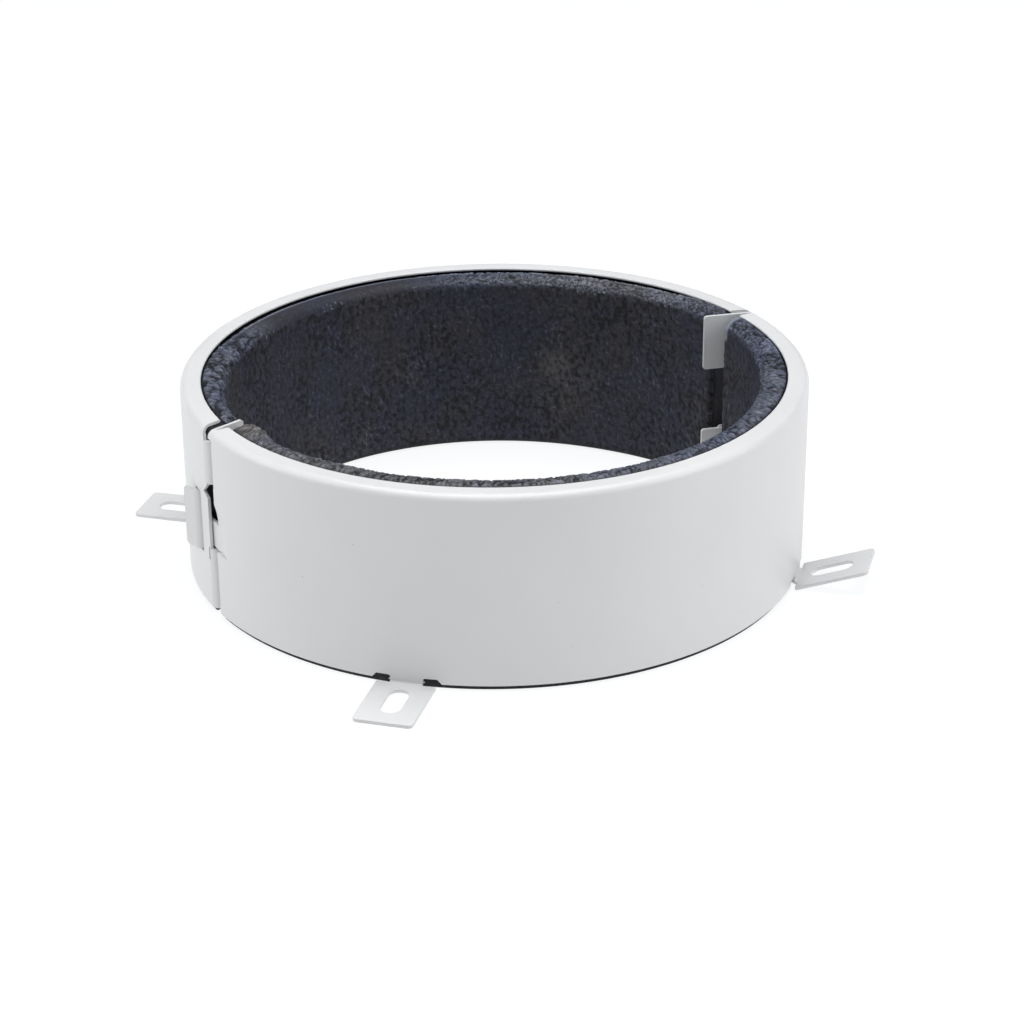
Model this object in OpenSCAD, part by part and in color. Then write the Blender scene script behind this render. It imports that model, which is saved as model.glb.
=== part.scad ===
// Fire collar for a plastic drain pipe: two folded steel half shells, hooked together at their ends,
// each lined with a strip of intumescent graphite material.
// Millimetres. Z = 0 is the face of the wall or ceiling that the collar is screwed to, +Z is the pipe's axis.
// The fixing tabs lie along X and Y, and the seams between the two halves lie at 45 degrees to them.

/* [Pipe] */
// Outside diameter of the pipe that passes through the collar
pipe_d = 160; // [110:1:250]
// Gap between the pipe and the longest end plates
plate_clear = 1.9; // [0.5:0.1:6]
// Gap between the pipe and the liner
liner_gap = 6.5; // [4:0.5:10]

/* [Liner] */
// Thickness of the liner
liner_t = 12.3; // [10:0.1:20]
// Rise of the liner above the flange, inside the flange's edge
liner_rise = 0.3; // [0.3:0.1:2]
// Radius of the liner's inner top edge
liner_top_round = 3.5; // [2:0.5:6]
// Radius of the liner's top edge along the flange
liner_rim_round = 1.3; // [0.4:0.1:1.5]
// Radius of the liner's inner bottom edge
liner_foot_round = 2; // [0.5:0.5:4]
// Gap between the liner and the sheet round it
liner_clear = 0.2; // [0.1:0.05:0.4]
// Gap between the liner and the flange's edge
rim_clear = 0.4; // [0.2:0.1:1]

/* [Shell] */
// Thickness of the steel sheet
sheet_t = 1; // [0.8:0.1:1.4]
// Height of the collar, from its mounting face to the top of its flange
collar_h = 63; // [56:1:90]
// Width of the flange, from the outside of the wall
flange_w = 6.7; // [5:0.1:9]
// Inside radius of the bend between wall and flange
flange_bend = 1.5; // [0.8:0.1:2.5]

/* [Seam ends] */
// Gap between the two shells at a seam
seam_gap = 1.2; // [0.6:0.1:3]
// Inside radius of the fold between wall and end plates
plate_bend = 1.5; // [0.8:0.1:2.5]
// Corner radius of the end plates
plate_round = 1; // [0.5:0.5:3]
// Lean of the front shell's end plates out past the seam, from which the back shell's ends draw back
plate_lean = 16; // [8:1:20]
// Length by which the front shell's end plates are shorter beside its tongue than beside its slot
plate_cut = 5; // [0:0.5:7]
// Length of the back shell's end plates
back_plate_len = 8; // [5:0.5:10]
// Distance of the back shell's flange from the right-hand seam, beyond half the seam's gap
right_draw = 0.6; // [0.2:0.1:2]
// Distance of the back shell's flange from the left-hand seam, beyond half the seam's gap
left_draw = 2.4; // [0.2:0.1:4]
// Height of the window's lower edge above the mounting face
window_z = 22; // [14:0.5:24]
// Height of the window between the lower and upper end plates
window_h = 22; // [16:0.5:26]
// Distance of the wall's edge in the window from the face of the end plates
window_setback = 1.8; // [1:0.1:3]
// Height of the open corner between the fold and the flange
corner_relief = 2; // [1:0.1:4]
// Gap between the flange's end and the upper end plate
corner_gap = 0.3; // [0.1:0.1:1]

/* [Latch] */
// Height of the tongue's neck
neck_h = 8.8; // [6:0.2:12]
// Gap between the neck and the lower end plates
neck_gap = 0.7; // [0.4:0.1:2]
// Height of the tongue's head
head_h = 20; // [16:0.5:23]
// Drop of the head's lower edge below the neck's
head_drop = 4; // [1:0.5:5]
// Length of the flat of the tongue's head
head_len = 5; // [4:0.5:9]
// Angle at which the head stands off from the wall
head_stand = 24; // [5:1:40]
// Corner radius of the tongue's head
head_round = 1.5; // [0.5:0.5:3]
// Inside radius of the tongue's bends
joggle_bend = 1.5; // [1:0.1:2.5]
// Gap between the tongue and the strip of wall that it hooks behind
latch_clear = 0.3; // [0.2:0.1:0.6]
// Width of the strip of wall that the tongue hooks behind
strip_w = 6.2; // [4:0.2:10]
// Gap between the tongue and the ends of its slot
slot_clear = 0.4; // [0.3:0.1:1]
// Radius of the dished root of the tongue, seen from above
dish_r = 120; // [60:5:200]
// Radius at which the dish fades out above the neck
dish_fade = 25; // [10:1:40]
// Depth of the relief notch in the strip's free edge
notch_depth = 3.2; // [1.5:0.1:4]
// Height of the relief notch in the strip's free edge
notch_h = 5; // [3:0.5:7]
// Height of the relief notch above its tip
notch_tip = 3.2; // [1.5:0.1:4]
// Length of the relief slit below the strip
slit_len = 4; // [2:0.5:8]
// Width of the relief slit below the strip
slit_w = 0.8; // [0.5:0.1:1.2]

/* [Fixing tabs] */
// Width of a tab
tab_w = 18.3; // [16:0.1:26]
// Reach of a tab from the outside of the wall
tab_reach = 24.3; // [22:0.1:40]
// Width of the neck between a tab and the wall
tab_neck_w = 10; // [6:0.5:12]
// Inside radius of the bend between wall and tab
tab_bend = 0.6; // [0.4:0.1:1.5]
// Corner radius of a tab
tab_round = 1.6; // [0.5:0.1:4]
// Width of a tab's screw slot
tab_slot_w = 6.4; // [4.5:0.1:8]
// Length of a tab's screw slot
tab_slot_len = 14.2; // [8:0.1:16]
// Distance of the screw slot's middle from the outside of the wall
tab_slot_mid = 11.4; // [10:0.1:13]
// Height of the relief notches beside a tab's neck
relief_h = 1.5; // [1:0.1:3]
// Distance that a relief notch runs past the side of its tab
relief_past = 1.8; // [0.5:0.1:4]
// Angle by which the right-hand tab is bent up
tab_lift = 20; // [0:1:30]

/* [Hidden] */
$fn = 96;
shell_colour = "whitesmoke";
liner_colour = "darkslategray";

// Flats run into their bends by lap, and bends lie a hair inside the flats, so that one sheet is one solid
lap = 0.2;
hair = 0.02;
// Reach of cuts past the sheet
past = 5;

// Radii of the end plates, the liner and the wall
plate_r = pipe_d / 2 + plate_clear;
bore_r = pipe_d / 2 + liner_gap;
liner_r = bore_r + liner_t;
wall_in_r = liner_r + liner_clear;
wall_r = wall_in_r + sheet_t;

// Heights of the wall's lower edge, of the flange's bend and of the liner
skirt_z = sheet_t + tab_bend;
flange_r = flange_bend + sheet_t;
flange_z = collar_h - flange_r;
liner_top = collar_h - sheet_t - liner_clear;
crest_z = collar_h + liner_rise;
crest_r = wall_r - flange_w - rim_clear;

// The fold between the wall and the end plates, in the frame of one end: x runs out, y runs into the shell
face_y = seam_gap / 2;
fold_r = plate_bend + sheet_t;
fold_y = face_y + fold_r;
fold_x = sqrt(pow(wall_r - fold_r, 2) - pow(fold_y, 2));
fold_angle = asin(fold_y / (wall_r - fold_r));
plate_len = (fold_x - plate_r) / cos(plate_lean);
corner_z = flange_z - lap;
fold_top = corner_z - corner_relief;
window_y = face_y + window_setback;
window_top = window_z + window_h;
liner_end_y = face_y + sheet_t + liner_clear;

// The lean of each shell's plates, and their top: the front shell's reach the flange, the back shell's don't
front_lean = plate_lean;
back_lean = -plate_lean;
front_plate_top = collar_h;
back_plate_top = fold_top;

// Lengths of each shell's plates, and the places of its flange's ends, at its tongue and at its slot
front_plates = [plate_len - plate_cut, plate_len];
back_plates = [back_plate_len, back_plate_len];
front_ends = [face_y, face_y];
back_ends = [face_y + right_draw, face_y + left_draw];

// The tongue's route: behind the strip at tongue_r, out through the slot, to its head outside the wall
tongue_r = wall_in_r - latch_clear;
head_r = wall_r + latch_clear;
neck_z = window_z + neck_gap;
neck_top = neck_z + neck_h;
head_z = neck_z - head_drop;
window_angle = asin(window_y / tongue_r);

// The dish: a barrel on an axis outside the wall, which meets the wall's round at a chord
dish_sweep = 40;
dish_x = tongue_r + dish_r;
dish_chord = (pow(dish_x, 2) + pow(wall_r, 2) - pow(dish_r, 2)) / (2 * dish_x);
dish_span = sqrt(pow(wall_r, 2) - pow(dish_chord, 2)) + past;

// The bends of the tongue: the places of their axes, and the angles at which they start and end
joggle_r = joggle_bend + sheet_t / 2;
joggle_out = tongue_r - sheet_t / 2 + joggle_r;
joggle_in = head_r + sheet_t / 2 - joggle_r;
joggle_cos = (pow(joggle_out, 2) + pow(joggle_in, 2) - pow(2 * joggle_r, 2)) / (2 * joggle_out * joggle_in);
joggle_span = acos(joggle_cos);
joggle_start = arc_angle(window_y + strip_w + slot_clear, wall_r);
joggle_end = joggle_start + joggle_span;
head_turn = head_stand - joggle_end;
slot_start = joggle_start - arc_angle(slot_clear, wall_r);
slot_end = joggle_end + arc_angle(slot_clear, wall_r);

// Half turn of one shell, the turn of the front shell, and the places of its two tabs
half_turn = 180;
front_turn = 225;
tab_turns = [45, 135];
flat_tabs = [0, 0];
front_tabs = [0, tab_lift];

function arc_angle(length, radius) = length / radius * 180 / PI;
function polar(radius, angle) = [radius * cos(angle), radius * sin(angle)];

// Square corner less its quarter round, at the origin, to take a corner down to a radius
module corner_waste(r) {
    difference() {
        translate([-lap, -lap]) square(r + lap);
        translate([r, r]) circle(r);
    }
}

// Bar of sheet bent about an upright axis, from angle a0 to a1
module bent_bar(inside_r, a0, a1, h) {
    rotate([0, 0, a0]) rotate_extrude(angle = a1 - a0) translate([inside_r, 0]) square([sheet_t, h]);
}

// Section of wall and flange
module shell_section() {
    translate([wall_in_r, skirt_z]) square([sheet_t, flange_z - skirt_z]);
    translate([wall_r - flange_r, flange_z]) intersection() {
        difference() {
            circle(flange_r);
            circle(flange_bend);
        }
        square(flange_r);
    }
    translate([wall_r - flange_w + sheet_t / 2, collar_h - sheet_t]) {
        square([flange_w - flange_r - sheet_t / 2, sheet_t]);
        translate([0, sheet_t / 2]) circle(sheet_t / 2);
    }
}

// What the wall and the flange lose at one end: the plates' bend lines, the window, and the flange's end.
// The flange makes room for a plate that leans out, and is cut back where the other shell's plate leans in
module end_cuts(lean, end_y) {
    reach = wall_r + past;
    for (zone = [[-past, window_z - lap], [window_top + lap, corner_z]])
        rotate([0, 0, fold_angle]) translate([0, -reach - lap, zone[0]])
            cube([reach, reach, zone[1] - zone[0]]);
    translate([0, window_y - reach, window_z - 2 * lap]) cube([reach, reach, window_h + 4 * lap]);
    translate([0, face_y - reach, corner_z - lap]) {
        cube([reach, reach, flange_r + past]);
        if (lean >= 0) cube([fold_x + corner_gap, reach + sheet_t + corner_gap, flange_r + past]);
    }
    if (lean < 0) translate([wall_r, end_y, corner_z - lap]) rotate([0, 0, lean])
        translate([-reach, -reach, 0]) cube([reach + past, reach, flange_r + past]);
}

// One end plate, from height z0 to z1, with its inner corners rounded. It starts at the middle of its fold
module end_plate(length, z0, z1) {
    translate([0, -plate_bend, 0]) rotate([90, 0, 0]) linear_extrude(sheet_t) difference() {
        translate([-length, z0]) square([length + lap, z1 - z0]);
        translate([-length, z0]) corner_waste(plate_round);
        translate([-length, z1]) mirror([0, 1]) corner_waste(plate_round);
    }
}

// Folds and end plates at one end
module end_plates(length, lean, plate_top) {
    translate([fold_x, fold_y, 0]) {
        for (zone = [[skirt_z, window_z], [window_top, fold_top]])
            translate([0, 0, zone[0]]) bent_bar(plate_bend - hair, lean - 90, fold_angle, zone[1] - zone[0]);
        rotate([0, 0, lean]) {
            end_plate(length, skirt_z + hair, window_z - hair);
            end_plate(length, window_top + hair, plate_top - hair);
        }
    }
}

// Barrel whose side is the dish at the tongue's root: upright along the neck, rounded away above it
module dish_barrel(grow, below) {
    rotate([0, 0, -window_angle]) translate([dish_x, 0, 0])
        rotate_extrude(angle = dish_sweep, start = 180 - dish_sweep / 2) {
            translate([dish_r / 2, neck_z - below]) square([dish_r / 2 + grow, neck_h + below]);
            translate([dish_r - dish_fade, neck_top]) intersection() {
                circle(dish_fade + grow);
                square(dish_fade + grow);
            }
        }
}

// Sheet of the dished root and the neck, before its outside is pressed in
module dish_sheet() {
    intersection() {
        dish_barrel(sheet_t, 0);
        cylinder(r = wall_r - sheet_t / 2, h = collar_h);
        union() {
            rotate([0, 0, -window_angle]) translate([tongue_r - past, 0, neck_z])
                cube([2 * past, dish_span, neck_h]);
            translate([tongue_r - past, window_y, neck_z])
                cube([2 * past, dish_span, neck_h + dish_fade]);
        }
    }
}

// Head of the tongue, in the frame of its bend: a flat of sheet whose two far corners are rounded
module tongue_head() {
    translate([joggle_bend, 0, head_z]) rotate([90, 0, 90]) linear_extrude(sheet_t) difference() {
        translate([-head_len, 0]) square([head_len + lap, head_h]);
        translate([-head_len, 0]) corner_waste(head_round);
        translate([-head_len, head_h]) mirror([0, 1]) corner_waste(head_round);
    }
}

// Tongue from the neck on: behind the strip, out through the slot by two bends, to its head
module tongue() {
    middle_out = polar(joggle_out, -joggle_start);
    middle_in = polar(joggle_in, -joggle_end);
    across = middle_in - middle_out;
    turn = atan2(across[1], across[0]);
    lap_angle = arc_angle(lap, wall_r);
    neck_r = tongue_r - sheet_t - hair;
    translate([0, 0, neck_z + hair])
        bent_bar(neck_r, -joggle_start - lap_angle, lap_angle - window_angle, neck_h - 2 * hair);
    translate([middle_out[0], middle_out[1], head_z + 2 * hair])
        bent_bar(joggle_bend, -joggle_start - 180, turn + arc_angle(lap, joggle_r), head_h - 4 * hair);
    translate([middle_in[0], middle_in[1], 0]) {
        translate([0, 0, head_z + hair])
            bent_bar(joggle_bend - hair, head_turn, turn + 180, head_h - 2 * hair);
        rotate([0, 0, head_turn]) tongue_head();
    }
}

// Cuts that take the other shell's tongue, at the far end: its slot, and the reliefs at the strip's two ends
module latch_cuts() {
    slot_h = head_h + 2 * slot_clear;
    rotate([0, 0, slot_start]) rotate_extrude(angle = slot_end - slot_start)
        translate([wall_in_r - past, head_z - slot_clear]) square([sheet_t + 2 * past, slot_h]);
    translate([wall_in_r - past, 0, 0]) rotate([90, 0, 90]) linear_extrude(sheet_t + 2 * past) {
        notch_top = window_top - lap;
        polygon([
            [window_y - lap, notch_top],
            [window_y + notch_depth, notch_top - notch_tip],
            [window_y - lap, notch_top - notch_h]
        ]);
        translate([fold_y, window_z - slit_len]) square([slit_w, slit_len + lap]);
    }
}

// Screw slot of a tab, middle at the origin
module screw_slot() {
    square([tab_slot_len - tab_slot_w, tab_slot_w], center = true);
    for (side = [-1, 1]) translate([side * (tab_slot_len - tab_slot_w) / 2, 0]) circle(tab_slot_w / 2);
}

// Tab turned out along +X from the wall's lower edge, bent up by the angle lift
module fixing_tab(lift) {
    neck_angle = asin(tab_neck_w / 2 / wall_r);
    root_angle = arc_angle(lap, tab_bend + sheet_t);
    far = 2 * (tab_bend + sheet_t);
    rotate([0, 0, -neck_angle]) rotate_extrude(angle = 2 * neck_angle) translate([wall_r + tab_bend, skirt_z])
        intersection() {
            difference() {
                circle(tab_bend + sheet_t - hair);
                circle(tab_bend - hair);
            }
            polygon([[0, 0], polar(far, 180 - root_angle), polar(far, 225), polar(far, 270 + lift)]);
        }
    translate([wall_r + tab_bend, 0, skirt_z]) rotate([0, -lift, 0]) translate([0, 0, -skirt_z])
        linear_extrude(sheet_t) difference() {
            translate([-lap, -tab_w / 2]) square([tab_reach - tab_bend + lap, tab_w]);
            for (side = [0, 1]) mirror([0, side]) translate([tab_reach - tab_bend, -tab_w / 2])
                mirror([1, 0]) corner_waste(tab_round);
            translate([tab_slot_mid - tab_bend, 0]) screw_slot();
        }
}

// Relief notches in the wall on both sides of a tab's neck
module tab_reliefs() {
    end_y = tab_w / 2 + relief_past;
    for (side = [0, 1]) mirror([0, side, 0]) translate([wall_in_r - past, 0, 0])
        rotate([90, 0, 90]) linear_extrude(sheet_t + 2 * past) {
            polygon([
                [(tab_neck_w + relief_h) / 2, skirt_z - lap],
                [(tab_neck_w + relief_h) / 2, skirt_z + relief_h],
                [end_y - relief_h, skirt_z + relief_h],
                [end_y, skirt_z - lap]
            ]);
            translate([(tab_neck_w + relief_h) / 2, skirt_z + relief_h / 2]) circle(relief_h / 2);
        }
}

// One half shell over y > 0, with its tongue at +X and its latch slot at -X
module half_shell(lifts, lean, plate_top, plates, ends) {
    difference() {
        union() {
            difference() {
                rotate_extrude(angle = half_turn) shell_section();
                end_cuts(lean, ends[0]);
                mirror([1, 0, 0]) end_cuts(lean, ends[1]);
                for (turn = tab_turns) rotate([0, 0, turn]) tab_reliefs();
                mirror([1, 0, 0]) latch_cuts();
            }
            dish_sheet();
        }
        dish_barrel(0, 0);
    }
    tongue();
    end_plates(plates[0], lean, plate_top);
    mirror([1, 0, 0]) end_plates(plates[1], lean, plate_top);
    for (i = [0, 1]) rotate([0, 0, tab_turns[i]]) fixing_tab(lifts[i]);
}

// Section of the liner: it swells up inside the flange's edge, rounded over, and is eased behind the bend
module liner_section() {
    rim_round = min(liner_rim_round, crest_z - liner_top - lap);
    top_round = min(liner_top_round, crest_r - bore_r - rim_round - lap);
    difference() {
        translate([bore_r, 0]) {
            square([liner_t, liner_top]);
            square([crest_r - bore_r, crest_z]);
        }
        translate([bore_r, 0]) corner_waste(liner_foot_round);
        translate([bore_r, crest_z]) mirror([0, 1]) corner_waste(top_round);
        translate([crest_r, crest_z]) mirror([0, 1]) mirror([1, 0]) corner_waste(rim_round);
        translate([liner_r, liner_top]) mirror([0, 1]) mirror([1, 0]) corner_waste(flange_bend);
    }
}

// Half liner over y > 0, its ends cut back by the angle lean, eased round the folds, the dish and the tongue
module half_liner(lean) {
    reach = liner_r + past;
    ease = plate_bend + liner_clear;
    corner_x = sqrt(pow(liner_r, 2) - pow(liner_end_y, 2));
    difference() {
        rotate_extrude(angle = half_turn) liner_section();
        for (end = [0, 1]) mirror([end, 0, 0]) {
            translate([fold_x, fold_y, -past]) rotate([0, 0, lean])
                translate([past - reach, liner_clear - plate_bend - reach, 0])
                    cube([reach, reach, collar_h + 3 * past]);
            translate([corner_x, liner_end_y, -past]) rotate([0, 0, 45])
                translate([-past, -past, 0]) cube([2 * past, past + ease / sqrt(2), collar_h + 3 * past]);
        }
        dish_barrel(sheet_t + liner_clear, liner_clear);
        mirror([1, 0, 0]) rotate_extrude(angle = slot_end)
            translate([tongue_r - sheet_t - liner_clear, head_z - liner_clear])
                square([past, head_h + 2 * liner_clear]);
    }
}

module front_shell() {
    color(shell_colour) rotate([0, 0, front_turn])
        half_shell(front_tabs, front_lean, front_plate_top, front_plates, front_ends);
}

module back_shell() {
    color(shell_colour) rotate([0, 0, front_turn - half_turn])
        half_shell(flat_tabs, back_lean, back_plate_top, back_plates, back_ends);
}

module front_liner() {
    color(liner_colour) rotate([0, 0, front_turn]) half_liner(0);
}

module back_liner() {
    color(liner_colour) rotate([0, 0, front_turn - half_turn]) half_liner(back_lean);
}

front_shell();
back_shell();
front_liner();
back_liner();
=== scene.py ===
"""Fire collar for a drain pipe: two hooked half shells of white steel sheet with dark liners."""

import math
from typing import NamedTuple

import bmesh
import bpy
from mathutils import Matrix, Vector, noise


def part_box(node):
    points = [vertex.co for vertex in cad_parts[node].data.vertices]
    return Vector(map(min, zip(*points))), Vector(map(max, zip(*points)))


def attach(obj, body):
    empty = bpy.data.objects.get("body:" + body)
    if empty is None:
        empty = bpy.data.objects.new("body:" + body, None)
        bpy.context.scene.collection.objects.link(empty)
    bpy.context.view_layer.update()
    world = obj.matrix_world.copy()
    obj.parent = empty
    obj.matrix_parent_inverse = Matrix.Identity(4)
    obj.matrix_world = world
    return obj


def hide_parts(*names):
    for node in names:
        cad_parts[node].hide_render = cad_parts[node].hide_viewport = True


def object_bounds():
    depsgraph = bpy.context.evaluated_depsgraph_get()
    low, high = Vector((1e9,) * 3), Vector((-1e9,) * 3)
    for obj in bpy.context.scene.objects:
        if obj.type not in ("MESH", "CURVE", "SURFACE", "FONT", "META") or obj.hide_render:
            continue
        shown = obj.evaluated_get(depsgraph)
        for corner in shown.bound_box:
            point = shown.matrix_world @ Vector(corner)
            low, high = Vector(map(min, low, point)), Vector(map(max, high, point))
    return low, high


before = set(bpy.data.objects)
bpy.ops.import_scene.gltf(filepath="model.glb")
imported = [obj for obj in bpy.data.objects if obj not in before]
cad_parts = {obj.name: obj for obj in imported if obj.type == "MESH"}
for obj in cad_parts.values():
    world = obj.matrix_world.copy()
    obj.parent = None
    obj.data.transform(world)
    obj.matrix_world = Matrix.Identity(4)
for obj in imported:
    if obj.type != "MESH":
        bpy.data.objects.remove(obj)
cad_low, cad_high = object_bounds()

# The two half shells.
# Each is one blank of 1 mm steel sheet, punched, folded and rolled to a half round, then powder coated white.
# A tongue at one end is bent out through a slot in the other half, and slotted tabs take the screws.

MM = 0.001
COAT_EDGE = 0.25 * MM
PEEL_DEPTH = 0.05 * MM


def linear(code):
    """sRGB hex to the linear colour that a shader socket takes."""
    channels = [int(code[i:i + 2], 16) / 255 for i in (1, 3, 5)]
    return [c / 12.92 if c <= 0.04045 else ((c + 0.055) / 1.055) ** 2.4 for c in channels] + [1.0]


def per_metre(size_mm):
    """Texture scale that gives features of that size, on coordinates in metres."""
    return 1000 / size_mm


def add_node(tree, kind, inputs=None, **settings):
    """One shader node with its settings, and its inputs set to a value or linked to a socket."""
    node = tree.nodes.new(kind)
    for name, value in settings.items():
        setattr(node, name, value)
    for socket, value in (inputs or {}).items():
        if isinstance(value, bpy.types.NodeSocket):
            tree.links.new(value, node.inputs[socket])
        else:
            node.inputs[socket].default_value = value
    return node


def empty_material(name):
    """A material without nodes, its tree, and the coordinates of the object that wears it."""
    material = bpy.data.materials.new(name)
    material.use_nodes = True
    tree = material.node_tree
    tree.nodes.clear()
    place = add_node(tree, "ShaderNodeTexCoord").outputs["Object"]
    return material, tree, place


def blend(tree, share, first, second):
    """Colour between two others: the first where the share is 0, the second where it is 1."""
    mix = add_node(tree, "ShaderNodeMix", {0: share, 6: first, 7: second}, data_type="RGBA")
    return mix.outputs[2]


def remap(tree, value, low, high, at_low, at_high):
    """Value brought from one range to another, and held at the ends of it."""
    node = add_node(tree, "ShaderNodeMapRange", {
        "Value": value, "From Min": low, "From Max": high, "To Min": at_low, "To Max": at_high,
    })
    return node.outputs["Result"]


def white_powder_coat():
    """Polyester powder coat, baked on steel: satin white, with a fine orange peel and softened edges."""
    material, tree, place = empty_material("white_powder_coat")

    # Coat that lies a little thinner and greyer in broad clouds, with the odd speck of dust baked in
    cloud = add_node(tree, "ShaderNodeTexNoise", {"Vector": place, "Scale": per_metre(45), "Detail": 3.0})
    tone = blend(tree, cloud.outputs["Fac"], linear("#d7d8da"), linear("#e2e3e3"))
    specks = add_node(tree, "ShaderNodeTexVoronoi", {"Vector": place, "Scale": per_metre(9)})
    speck = remap(tree, specks.outputs["Distance"], 0.022, 0.034, 0.45, 0.0)
    colour = blend(tree, speck, tone, linear("#9a9a96"))

    # Satin gloss that varies a little, as handled sheet does
    handled = add_node(tree, "ShaderNodeTexNoise", {"Vector": place, "Scale": per_metre(22), "Detail": 4.0})
    gloss = remap(tree, handled.outputs["Fac"], 0.3, 0.7, 0.31, 0.38)

    # Orange peel of the baked powder, drawn at 1.6 mm, which is as fine as the picture can show
    edge = add_node(tree, "ShaderNodeBevel", {"Radius": COAT_EDGE}, samples=6)
    peel = add_node(tree, "ShaderNodeTexNoise", {"Vector": place, "Scale": per_metre(1.6), "Detail": 2.0})
    relief = add_node(tree, "ShaderNodeBump", {
        "Height": peel.outputs["Fac"], "Strength": 0.10, "Distance": PEEL_DEPTH,
        "Normal": edge.outputs["Normal"],
    })
    shader = add_node(tree, "ShaderNodeBsdfPrincipled", {
        "Base Color": colour, "Roughness": gloss, "IOR": 1.5, "Normal": relief.outputs["Normal"],
    })
    add_node(tree, "ShaderNodeOutputMaterial", {"Surface": shader.outputs["BSDF"]})
    return material


powder_coat = white_powder_coat()
for node in ("front_shell", "back_shell"):
    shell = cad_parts[node].data
    shell.materials.clear()
    shell.materials.append(powder_coat)

# The two half liners.
# Each is a strip of intumescent graphite compound, pressed and laid round the inside of its half shell.
# It bulges a little between its ends; its skin is grainy, and crinkled like hide where it rolls over the top.

# Section, and the roundings of its corners
LINER_T = 12.3 * MM
RIM_R = 92.8 * MM
UNDER_FLANGE = 1.5 * MM
TOP_ROUND = 4.7 * MM
RIM_ROUND = 1.3 * MM
FOOT_ROUND = 2 * MM
BACK_ROUND = 1.5 * MM

# Cut ends, with a dark face. Those of the back strip lean along the front shell's end plates
FRONT_LEAN = 0.0
BACK_LEAN = math.radians(16)
END_GAP = 1.8 * MM
END_ROUND = 2 * MM
CUT_EDGE = 0.05 * MM
CUT_DARK = -0.6

# Room for the latch tongues, behind the ends
LATCH_R = 97.3 * MM
LATCH_REACH = 17 * MM
LATCH_LOW, LATCH_HIGH = 16 * MM, 43 * MM

# Mesh: round the bore, over the roll, on the face and where nothing shows
SPIN_STEPS = 32
ROUND_STEP = 0.42 * MM
ROLL_STEP = 0.42 * MM
FACE_STEP = 0.8 * MM
HIDDEN_STEP = 5 * MM
SAME_ROW = 1e-7

# Depth of the skin's relief. The skin starts above the foot, ends about the rim and rolls over below the top
PRESSED = 0.42 * MM
SKIN_FOOT = 0.3 * MM, 3 * MM
SKIN_FADE = 0.4 * MM
ROLL_START, ROLL_FULL = 4.5 * MM, 1.5 * MM
# Sides of the rubbed stretch, which is smoothed and painted dark as shade
RUBBED_AND_SHADED_FADE = 14 * MM

# Bulge between the ends, by the way to the nearer end
BULGE = 2.2 * MM
BULGE_GROWS = 6 * MM, 45 * MM

# Swollen end: how far it moves in and rises, how deep it reaches below the top, and how far from the end
SWELLING = 2.2 * MM
SWELLING_LIFT = 0.5
SWELLING_START, SWELLING_FULL = 18 * MM, 4 * MM
SWELLING_GROWS = 0, 3 * MM
SWELLING_ENDS = 6 * MM, 19 * MM

# Sagging rim, with the stretch of the bore that it takes up
RIM_SAG = 1.2 * MM
SAG_DEPTH = 9 * MM
SAG_GROWS = 8 * MM, 35 * MM
SAG_ENDS = 190 * MM, 225 * MM

# Pale marks: painted highlights beside the rim and along one end, and flecks on the roll's lower border
RIM_HIGHLIGHT_START, RIM_HIGHLIGHT_FULL = 2.2 * MM, 1.5 * MM
BORDER_START, BORDER_FULL, BORDER_ENDS = 5.5 * MM, 3.5 * MM, 2 * MM
END_HIGHLIGHT_START, END_HIGHLIGHT_FULL = 9 * MM, 6 * MM
END_HIGHLIGHT_ENDS = 2.4 * MM, 3.4 * MM


class WearAndPaintedLight(NamedTuple):
    """How one strip has aged, with its painted light. Places along its bore start at its +X end before it is
    turned.
    """

    seed: float
    rubbed_and_shaded: tuple
    fine_from: float
    fine_to: float
    browned: list
    swollen: bool
    sagging: bool
    end_highlight: bool


def ramp(value, low, high):
    """0 at low and before it, 1 at high and past it, smooth between."""
    share = min(max((value - low) / (high - low), 0.0), 1.0)
    return share * share * (3 - 2 * share)


def fade(value, low, high):
    """1 at low and before it, 0 at high and past it, smooth between."""
    return 1 - ramp(value, low, high)


def liner_profile(bm, bore_r, outer_r, top):
    """Outline of the strip's section in the XZ plane, corners rounded and sides divided for the relief."""
    shoulder = top - UNDER_FLANGE
    outline = (
        (bore_r, 0), (bore_r, top), (RIM_R, top), (RIM_R, shoulder), (outer_r, shoulder), (outer_r, 0),
    )
    corners = [bm.verts.new((x, 0, z)) for x, z in outline]
    bm.faces.new(corners)
    for i, size in ((0, FOOT_ROUND), (1, TOP_ROUND), (2, RIM_ROUND), (4, BACK_ROUND)):
        bmesh.ops.bevel(
            bm, geom=[corners[i]], offset=size, offset_type="OFFSET", profile=0.5,
            segments=max(3, round(math.pi / 2 * size / ROLL_STEP)), affect="VERTICES", material=-1,
        )
    bmesh.ops.delete(bm, geom=bm.faces[:], context="FACES_ONLY")
    for side in bm.edges[:]:
        if max(v.co.x for v in side.verts) < bore_r + MM:
            step = FACE_STEP
        elif min(v.co.z for v in side.verts) > top - MM:
            step = ROLL_STEP
        else:
            step = HIDDEN_STEP
        cuts = round(side.calc_length() / step) - 1
        if cuts > 0:
            bmesh.ops.subdivide_edges(bm, edges=[side], cuts=cuts)


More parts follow.
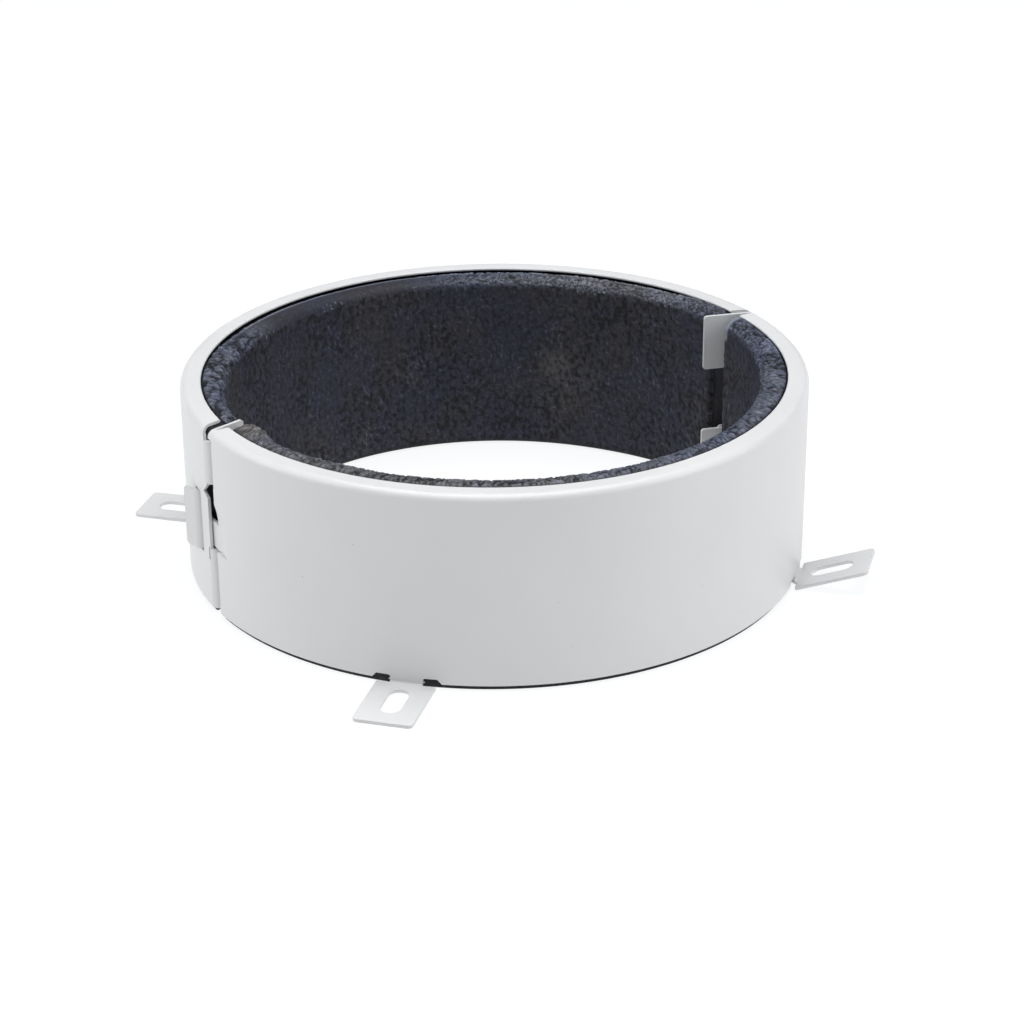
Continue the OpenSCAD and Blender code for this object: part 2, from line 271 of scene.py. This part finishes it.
def half_round(bm, bore_r):
    """Spins the section through half a turn: in few steps, which are then divided and set to their radius."""
    row_layer = bm.verts.layers.float.new("row_radius")
    for v in bm.verts:
        v[row_layer] = v.co.x
    bmesh.ops.spin(
        bm, geom=bm.verts[:] + bm.edges[:], cent=(0, 0, 0), axis=(0, 0, 1), dvec=(0, 0, 0), angle=math.pi,
        steps=SPIN_STEPS, use_merge=False, use_normal_flip=False, use_duplicate=False,
    )
    rounds = []
    for e in bm.edges:
        a, b = e.verts
        if abs(a[row_layer] - b[row_layer]) < SAME_ROW and abs(a.co.z - b.co.z) < SAME_ROW:
            rounds.append(e)
    cuts = round(math.pi * bore_r / SPIN_STEPS / ROUND_STEP) - 1
    bmesh.ops.subdivide_edges(bm, edges=rounds, cuts=cuts, use_grid_fill=True)
    for v in bm.verts:
        grow = v[row_layer] / math.hypot(v.co.x, v.co.y)
        v.co.x *= grow
        v.co.y *= grow
    bm.verts.layers.float.remove(row_layer)


def trim_ends(bm, ends, outer_r):
    """Cuts both ends off along their planes."""
    for side, (at, outwards) in ends.items():
        near = [f for f in bm.faces if side * f.calc_center_median().x > outer_r / 2]
        edges = list({e for f in near for e in f.edges})
        verts = list({v for f in near for v in f.verts})
        bmesh.ops.bisect_plane(
            bm, geom=verts + edges + near, plane_co=at, plane_no=outwards, clear_outer=True,
        )


def creases(arc, run, wide, tall, plane, start, full):
    """1 in the creases between cells of that size in mm, 0 on the cells, in one plane of the pattern."""
    near = noise.voronoi(Vector((arc / wide, run / tall, plane)))[0]
    return fade(near[1] - near[0], start, full)


def skin_relief(arc, run, roll, crisp, fine, seed):
    """Height of the skin, about -1 to 1, at a place in mm round the bore and along the section's run."""
    at = Vector((arc, run, seed))
    dents = noise.fractal(at / 12, 0.9, 2.0, 3)
    grain = noise.noise(Vector((arc / 0.95, run / 1.1, seed + 19)))

    # Face: grains with crevices between them here and there, more of them where it is torn
    torn = ramp(noise.noise(at / 16 + Vector((5, 9, 2))), -0.5, 0.3) * (1 - 0.4 * fine)
    stray = noise.noise(at / 2.6) * 0.9
    crevice = creases(arc + stray, run + stray, 1.9, 3.6, seed + 7, 0.04, 0.36)
    crevice *= ramp(noise.noise(at / 1.7), -0.2, 0.15)
    face = 0.12 * dents + 0.42 * grain - (0.55 + 0.65 * torn) * crevice
    if roll == 0:
        return face

    # Roll: broad folds and small wrinkles, only the small ones where it is fine, and flat where it is rubbed
    pull = noise.noise(at / 3.2) * 1.7 + noise.noise(at / 1.3) * 0.6
    fold = (1 - 0.7 * fine) * creases(arc + pull, run - 0.6 * pull, 2.5, 4.8, seed + 31, 0.04, 0.32)
    wrinkle = (0.6 + 0.4 * fine) * creases(arc - pull, run + pull, 1.3, 2.0, seed + 53, 0.03, 0.28)
    rolled = 0.45 + 0.3 * dents + 0.35 * grain - 1.3 * max(fold, wrinkle)
    rolled = crisp * rolled + (1 - crisp) * (0.15 * dents + 0.15 * grain - 0.15)
    return roll * rolled + (1 - roll) * face


def flecks_and_border_highlight(arc, run, top, seed):
    """Pale flecks along the roll's lower border, in some stretches of the bore, that also paint a highlight
    there.
    """
    border = ramp(run, top - BORDER_START, top - BORDER_FULL) * fade(run, top - BORDER_ENDS, top)
    fleck = ramp(noise.noise(Vector((arc / MM / 1.1, run / MM / 1.3, seed + 71))), 0.25, 0.45)
    stretch = ramp(noise.noise(Vector((arc / MM / 16, seed, 77))), -0.2, 0.3)
    return border * fleck * stretch


def brownness(arc, run, patches):
    """Strength of the strongest browned patch at a place."""
    return max(
        fade(math.hypot((arc - patch_arc) / wide, (run - patch_run) / tall), 0.25, 1.0) * amount
        for patch_arc, patch_run, wide, tall, amount in patches
    )


def press_skin(bm, ends, bore_r, outer_r, top, wear_and_painted_light):
    """Moves each point of the strip to its relief, and keeps what the colours need as attributes."""
    height_layer = bm.verts.layers.float.new("skin_height")
    roll_layer = bm.verts.layers.float.new("skin_roll")
    brown_layer = bm.verts.layers.float.new("skin_brown")
    for v in bm.verts:
        r = math.hypot(v.co.x, v.co.y)
        arc = math.atan2(v.co.y, v.co.x) * bore_r
        run = v.co.z + (r - bore_r)
        side = 1 if v.co.x > 0 else -1
        at, outwards = ends[side]
        to_end = (at - v.co).dot(outwards)

        # How far the point belongs to the bare skin, to the roll and to the stretch where the rim sags
        skin = fade(r, RIM_R - SKIN_FADE, RIM_R + SKIN_FADE) * ramp(v.co.z, *SKIN_FOOT)
        roll = skin * ramp(run, top - ROLL_START, top - ROLL_FULL)
        crisp = 1.0
        if wear_and_painted_light.rubbed_and_shaded:
            middle, half = wear_and_painted_light.rubbed_and_shaded
            crisp = ramp(abs(arc - middle), half - RUBBED_AND_SHADED_FADE, half + RUBBED_AND_SHADED_FADE)
        fine = ramp(arc, wear_and_painted_light.fine_from, wear_and_painted_light.fine_to)
        relief = skin_relief(arc / MM, run / MM, roll, crisp, fine, wear_and_painted_light.seed)
        sagging = 0.0
        if wear_and_painted_light.sagging:
            sagging = ramp(arc, *SAG_GROWS) * fade(arc, *SAG_ENDS)

        # Colours: painted highlights and flecks add to the height, which the pale dust and highlight follow
        # Painted highlight: a pale line by the rim, in the stretch where it sags
        rim_highlight = sagging * ramp(r, RIM_R - RIM_HIGHLIGHT_START, RIM_R - RIM_HIGHLIGHT_FULL)
        pale = 0.6 * rim_highlight + 0.9 * flecks_and_border_highlight(arc, run, top, wear_and_painted_light.seed)
        # Painted highlight: a pale rim along one end of the front strip, over the roll
        if wear_and_painted_light.end_highlight and side < 0:
            pale += 1.6 * skin * ramp(run, top - END_HIGHLIGHT_START, top - END_HIGHLIGHT_FULL) * fade(to_end, *END_HIGHLIGHT_ENDS)
        v[height_layer] = skin * (relief + pale) - (1 - skin)
        # In the rubbed stretch the roll takes the face's dark colour, a painted shade, except by the rim
        v[roll_layer] = roll * max(crisp, 0.8 * rim_highlight)
        v[brown_layer] = brownness(arc, run, wear_and_painted_light.browned)

        # Shape: relief, rounded ends, bulge, swollen end and sagging rim, with room left for the tongue
        height = skin * PRESSED * min(relief - 0.4 * roll, 1.0 - roll)
        over = max(END_ROUND - to_end, 0.0)
        height -= END_ROUND - math.sqrt(max(END_ROUND ** 2 - over ** 2, 0.0))
        moved = v.co + v.normal * height
        bulge = BULGE * fade(r, bore_r, RIM_R) * ramp(to_end, *BULGE_GROWS)
        if wear_and_painted_light.swollen and side > 0:
            swell = SWELLING * skin * fade(r, bore_r + 2 * MM, RIM_R)
            swell *= ramp(v.co.z, top - SWELLING_START, top - SWELLING_FULL)
            swell *= ramp(to_end, *SWELLING_GROWS) * fade(to_end, *SWELLING_ENDS)
            bulge += swell
            moved.z += SWELLING_LIFT * swell
        moved -= Vector((v.co.x, v.co.y, 0)) * (bulge / r)
        sag = ramp(r, bore_r - MM, RIM_R) * fade(r, RIM_R + 0.5 * MM, outer_r)
        moved.z -= RIM_SAG * sagging * sag * ramp(v.co.z, top - SAG_DEPTH, top)
        if r > LATCH_R and to_end < LATCH_REACH and LATCH_LOW < v.co.z < LATCH_HIGH:
            moved *= LATCH_R / r
            moved.z = v.co.z
        v.co = moved

    # Cut faces, set off by a hair so that the skin's colours stop at their edges
    cut_ends = bmesh.ops.holes_fill(bm, edges=[e for e in bm.edges if e.is_boundary], sides=0)["faces"]
    for cut_end in bmesh.ops.extrude_discrete_faces(bm, faces=cut_ends)["faces"]:
        outwards = ends[1 if cut_end.calc_center_median().x > 0 else -1][1]
        bmesh.ops.translate(bm, verts=cut_end.verts[:], vec=outwards * CUT_EDGE)
        for v in cut_end.verts:
            v[height_layer] = CUT_DARK
            v[roll_layer] = v[brown_layer] = 0.0


def half_liner(name, node, turn, lean, wear_and_painted_light):
    """One half liner in place of its CAD node: the same strip, with its skin modelled."""
    low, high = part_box(node)
    top = high.z
    outer_r = max(-low.x, -low.y, high.x, high.y)
    bore_r = outer_r - LINER_T
    ends = {
        side: (Vector((side * outer_r, END_GAP, 0)), Vector((-side * math.sin(lean), -math.cos(lean), 0)))
        for side in (1, -1)
    }
    bm = bmesh.new()
    liner_profile(bm, bore_r, outer_r, top)
    half_round(bm, bore_r)
    trim_ends(bm, ends, outer_r)
    bmesh.ops.recalc_face_normals(bm, faces=bm.faces[:])
    bm.normal_update()
    press_skin(bm, ends, bore_r, outer_r, top, wear_and_painted_light)
    bmesh.ops.recalc_face_normals(bm, faces=bm.faces[:])
    bmesh.ops.rotate(bm, verts=bm.verts[:], cent=(0, 0, 0), matrix=Matrix.Rotation(turn, 3, "Z"))
    mesh = bpy.data.meshes.new(name)
    bm.to_mesh(mesh)
    bm.free()
    mesh.shade_smooth()
    strip = bpy.data.objects.new(name, mesh)
    bpy.context.scene.collection.objects.link(strip)
    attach(strip, "root")
    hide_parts(node)
    return strip


def graphite_compound():
    """Intumescent graphite compound, pressed: matt blue-black, paler and bluer where it is crinkled, with
    painted highlights and shade on its relief.
    """
    material, tree, place = empty_material("intumescent_graphite")
    height = add_node(tree, "ShaderNodeAttribute", attribute_name="skin_height").outputs["Fac"]
    roll = add_node(tree, "ShaderNodeAttribute", attribute_name="skin_roll").outputs["Fac"]
    brown = add_node(tree, "ShaderNodeAttribute", attribute_name="skin_brown").outputs["Fac"]

    # Face: cloudy blue-black and brown-black. Roll: blue-grey. Both browner where the strip is worn
    cloud = add_node(tree, "ShaderNodeTexNoise", {"Vector": place, "Scale": per_metre(18), "Detail": 4.0})
    clouds = remap(tree, cloud.outputs["Fac"], 0.38, 0.62, 0.0, 1.0)
    face = blend(tree, clouds, linear("#262939"), linear("#2c2c33"))
    rolled = blend(tree, clouds, linear("#4d5366"), linear("#525662"))
    skin = blend(tree, roll, face, rolled)
    worn = blend(tree, brown, skin, linear("#65625d"))

    # Pale dust and painted highlight on what stands out, painted shade in black in the creases
    raised = remap(tree, height, 0.05, 0.95, 0.0, 0.75)
    dust_and_highlight = blend(tree, raised, worn, linear("#8e94a3"))
    # The painted shade also turns the cut ends, and the parts under the flange and at the foot, near black
    sunk = remap(tree, height, -0.75, -0.1, 0.93, 0.0)
    crease_shaded = blend(tree, sunk, dust_and_highlight, linear("#0d0e14"))

    # Grit about 1 mm across
    grit = add_node(tree, "ShaderNodeTexNoise", {
        "Vector": place, "Scale": per_metre(1.1), "Detail": 3.0, "Roughness": 0.65,
    }).outputs["Fac"]
    colour = blend(tree, remap(tree, grit, 0.52, 0.80, 0.0, 0.24), crease_shaded, linear("#767880"))
    relief = add_node(tree, "ShaderNodeBump", {"Height": grit, "Strength": 0.6, "Distance": 0.4 * MM})

    # Dull on the face, with some sheen on the roll's skin
    sheen = remap(tree, roll, 0.0, 1.0, 0.64, 0.46)
    shader = add_node(tree, "ShaderNodeBsdfPrincipled", {
        "Base Color": colour, "Roughness": sheen, "IOR": 1.38, "Normal": relief.outputs["Normal"],
    })
    add_node(tree, "ShaderNodeOutputMaterial", {"Surface": shader.outputs["BSDF"]})
    return material


# The back strip is rubbed smooth along the bore, round a middle and to a half width; its roll there is
# painted dark as shade. The wrinkles of each strip grow fine from one place to another. Browned patches
# have a place along the bore and up the section, a half width, a half height and a strength
graphite = graphite_compound()
front_strip = half_liner(
    "front_liner_strip", "front_liner", turn=math.radians(225), lean=FRONT_LEAN,
    wear_and_painted_light=WearAndPaintedLight(
        seed=3.0, rubbed_and_shaded=(), fine_from=-50 * MM, fine_to=80 * MM,
        browned=[
            (3 * MM, 66 * MM, 19 * MM, 19 * MM, 0.9),
            (60 * MM, 71 * MM, 100 * MM, 14 * MM, 0.55),
        ],
        swollen=True, sagging=False, end_highlight=True,
    ),
)
back_strip = half_liner(
    "back_liner_strip", "back_liner", turn=math.radians(45), lean=BACK_LEAN,
    wear_and_painted_light=WearAndPaintedLight(
        seed=41.0, rubbed_and_shaded=(150 * MM, 38 * MM), fine_from=190 * MM, fine_to=120 * MM,
        browned=[
            (69 * MM, 30 * MM, 9 * MM, 9 * MM, 0.35),
            (64 * MM, 24 * MM, 16 * MM, 16 * MM, 0.15),
            (45 * MM, 71 * MM, 45 * MM, 14 * MM, 0.45),
        ],
        swollen=False, sagging=True, end_highlight=False,
    ),
)
for strip in (front_strip, back_strip):
    strip.data.materials.append(graphite)

# The studio.
# A lit white table that runs past the picture, with large soft boxes at both sides and above, a weak one in
# front, and a narrow one at the front right. The camera stands where the photograph was taken from.

FLOOR_HALF = 6.0
AIM = Vector((0, 0, 0.03))
LENS_MM = 91.7
SENSOR_MM = 36
CAMERA_AT = Vector((0.2096, -0.7458, 0.3716))
CAMERA_DOWN = math.radians(24.918)
CAMERA_HEADING = math.radians(15.31)
CAMERA_ROLL = -0.0078


def light_table():
    """Opal acrylic, lit from below: white all over, with only a trace of shadow."""
    material, tree, place = empty_material("opal_acrylic")
    cast = add_node(tree, "ShaderNodeTexNoise", {"Vector": place, "Scale": per_metre(60), "Detail": 2.0})
    shader = add_node(tree, "ShaderNodeBsdfPrincipled", {
        "Base Color": blend(tree, cast.outputs["Fac"], linear("#6a6a6a"), linear("#6e6e6e")),
        "Roughness": 0.9, "IOR": 1.3,
        "Emission Color": linear("#fdfeff"), "Emission Strength": 0.87,
    })
    add_node(tree, "ShaderNodeOutputMaterial", {"Surface": shader.outputs["BSDF"]})
    return material


bm = bmesh.new()
bmesh.ops.create_grid(bm, x_segments=1, y_segments=1, size=FLOOR_HALF)
bmesh.ops.translate(bm, verts=bm.verts[:], vec=(0, 0, cad_low.z))
floor_mesh = bpy.data.meshes.new("floor")
bm.to_mesh(floor_mesh)
bm.free()
floor = bpy.data.objects.new("floor", floor_mesh)
bpy.context.scene.collection.objects.link(floor)
floor_mesh.materials.append(light_table())


def soft_box(name, bearing, height, distance, width, tall, watts):
    """Area light aimed at the collar, with its bearing in degrees to the right of the camera's side."""
    light = bpy.data.lights.new(name, "AREA")
    light.shape = "RECTANGLE"
    light.size, light.size_y = width, tall
    light.energy = watts
    turn = math.radians(bearing) + CAMERA_HEADING
    away = Vector((math.sin(turn) * distance, -math.cos(turn) * distance, height))
    lamp = bpy.data.objects.new(name, light)
    bpy.context.scene.collection.objects.link(lamp)
    lamp.location = away
    lamp.rotation_euler = (AIM - away).to_track_quat("-Z", "Y").to_euler()


soft_box("right_box", bearing=78, height=0.75, distance=1.3, width=1.0, tall=1.2, watts=8)
soft_box("left_box", bearing=-88, height=0.75, distance=1.3, width=1.0, tall=1.2, watts=8.5)
soft_box("strip_box", bearing=42, height=0.7, distance=1.5, width=0.10, tall=1.2, watts=1.1)
soft_box("front_box", bearing=-5, height=1.5, distance=1.0, width=1.0, tall=0.8, watts=1.8)
soft_box("top_box", bearing=180, height=1.6, distance=0.06, width=1.4, tall=1.4, watts=24)

world = bpy.data.worlds.new("studio")
world.use_nodes = True
world.node_tree.nodes["Background"].inputs["Color"].default_value = linear("#f4f7ff")
world.node_tree.nodes["Background"].inputs["Strength"].default_value = 0.10
bpy.context.scene.world = world
bpy.context.scene.view_settings.view_transform = "Standard"

lens = bpy.data.cameras.new("camera")
lens.lens = LENS_MM
lens.sensor_width = SENSOR_MM
lens.clip_start, lens.clip_end = 0.01, 50
camera = bpy.data.objects.new("camera", lens)
bpy.context.scene.collection.objects.link(camera)
camera.matrix_world = (
    Matrix.Translation(CAMERA_AT)
    @ Matrix.Rotation(CAMERA_HEADING, 4, "Z")
    @ Matrix.Rotation(math.pi / 2 - CAMERA_DOWN, 4, "X")
    @ Matrix.Rotation(CAMERA_ROLL, 4, "Z")
)
bpy.context.scene.camera = camera
